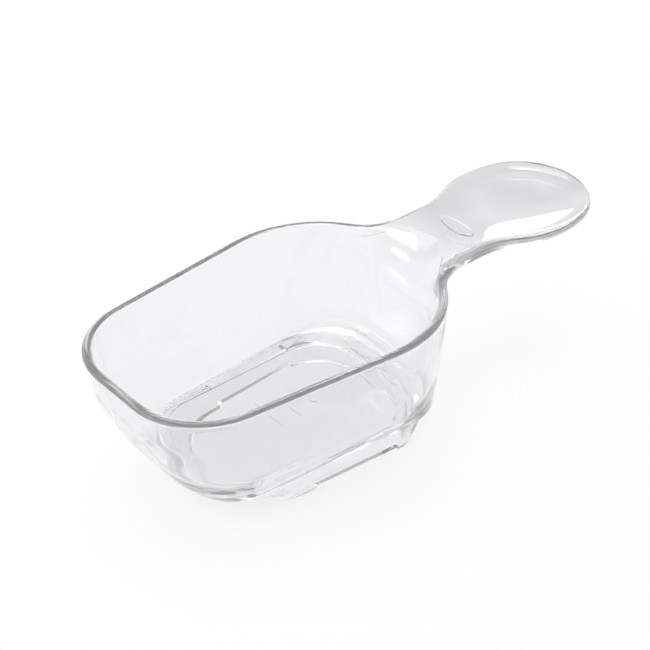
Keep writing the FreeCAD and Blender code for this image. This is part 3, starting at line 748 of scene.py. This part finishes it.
def pale_floor():
    material = bpy.data.materials.new("pale_floor")
    material.use_nodes = True
    paper = material.node_tree.nodes["Principled BSDF"]
    paper.inputs["Base Color"].default_value = grey(0.95)
    paper.inputs["Roughness"].default_value = 0.9
    paper.inputs["Specular IOR Level"].default_value = 0.1
    return material


# ---- the moulding --------------------------------------------------------------------------------
SHARP_ANGLE = 38.0

scoop = smooth_moulding()
cut_or_join(scoop, notch_tool(), "DIFFERENCE")
for number, (points, faces) in enumerate(raised_pads()):
    cut_or_join(scoop, mesh_object(f"pad_tool_{number}", points, faces), "UNION")
for polygon in scoop.data.polygons:
    polygon.use_smooth = True
scoop.data.set_sharp_from_angle(angle=math.radians(SHARP_ANGLE))
scoop.data.materials.clear()
scoop.data.materials.append(clear_plastic())
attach(scoop, "root")
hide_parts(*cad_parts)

# ---- floor, light and camera, in metres ----------------------------------------------------------
FLOOR_HALF = 6.0
FLOOR_GAP = 0.00005      # keeps the floor's face clear of the foot's

floor_mesh = bpy.data.meshes.new("floor")
floor_mesh.from_pydata([(x * FLOOR_HALF, y * FLOOR_HALF, 0.0)
                        for x, y in ((-1, -1), (1, -1), (1, 1), (-1, 1))], [], [(0, 1, 2, 3)])
floor = bpy.data.objects.new("floor", floor_mesh)
bpy.context.scene.collection.objects.link(floor)
floor.location.z = -FLOOR_GAP
floor.data.materials.append(pale_floor())

LIGHT_TARGET = Vector((0, 0, 0.02))


def soft_box(name, place, size, radiance):
    """A rectangular lamp that faces the object and looks equally bright at any size."""
    light = bpy.data.lights.new(name, "AREA")
    light.shape = "RECTANGLE"
    light.size, light.size_y = size
    light.energy = radiance * math.pi * size[0] * size[1]
    lamp = bpy.data.objects.new(name, light)
    bpy.context.scene.collection.objects.link(lamp)
    lamp.location = place
    lamp.rotation_euler = (LIGHT_TARGET - Vector(place)).to_track_quat("-Z", "Y").to_euler()


soft_box("soft_box_top", (0.1, 0.3, 1.3), (1.0, 1.0), 2.9)
soft_box("soft_box_back", (1.0, 1.05, 0.36), (0.5, 0.3), 1.9)
soft_box("soft_box_side", (-1.2, 0.6, 0.7), (0.7, 0.7), 2.6)

# Brightness of the room around, from the horizon and below it (0) to straight overhead (1).
ROOM = ((0.0, 0.62), (0.1, 0.95), (0.2, 1.0), (0.42, 1.0), (0.52, 0.42), (0.85, 0.42), (1.0, 0.55))


def studio_room():
    world = bpy.data.worlds.new("studio")
    world.use_nodes = True
    tree = world.node_tree
    direction = add_node(tree, "ShaderNodeTexCoord")
    split = add_node(tree, "ShaderNodeSeparateXYZ", sources={"Vector": direction.outputs["Generated"]})
    ramp = add_node(tree, "ShaderNodeValToRGB", sources={"Fac": split.outputs["Z"]})
    elements = ramp.color_ramp.elements
    for element, (position, value) in zip(elements, (ROOM[0], ROOM[-1])):
        element.position = position
        element.color = grey(value)
    for position, value in ROOM[1:-1]:
        elements.new(position).color = grey(value)
    tree.links.new(ramp.outputs["Color"], tree.nodes["Background"].inputs["Color"])
    return world


bpy.context.scene.world = studio_room()

CAMERA_AZIMUTH, CAMERA_ELEVATION = math.radians(-39.99), math.radians(36.43)
CAMERA_DISTANCE = 487.8 * MM
CAMERA_AIM = Vector((-21.6, -11.8, RIM_Z)) * MM

camera_data = bpy.data.cameras.new("camera")
camera_data.sensor_width = 36.0
camera_data.lens = 110.77
camera_data.clip_start = 0.01
camera_data.clip_end = 50.0
camera = bpy.data.objects.new("camera", camera_data)
bpy.context.scene.collection.objects.link(camera)
away = Vector((math.sin(CAMERA_AZIMUTH) * math.cos(CAMERA_ELEVATION),
               -math.cos(CAMERA_AZIMUTH) * math.cos(CAMERA_ELEVATION), math.sin(CAMERA_ELEVATION)))
camera.location = CAMERA_AIM + away * CAMERA_DISTANCE
camera.rotation_euler = away.to_track_quat("Z", "Y").to_euler()

scene = bpy.context.scene
scene.camera = camera
scene.view_settings.view_transform = "Standard"
# clear plastic needs many bounces, or its thick edges go dark
BOUNCES, GLOSSY_BOUNCES = 24, 8
scene.cycles.max_bounces = BOUNCES
scene.cycles.transmission_bounces = BOUNCES
scene.cycles.transparent_max_bounces = BOUNCES
scene.cycles.glossy_bounces = GLOSSY_BOUNCES
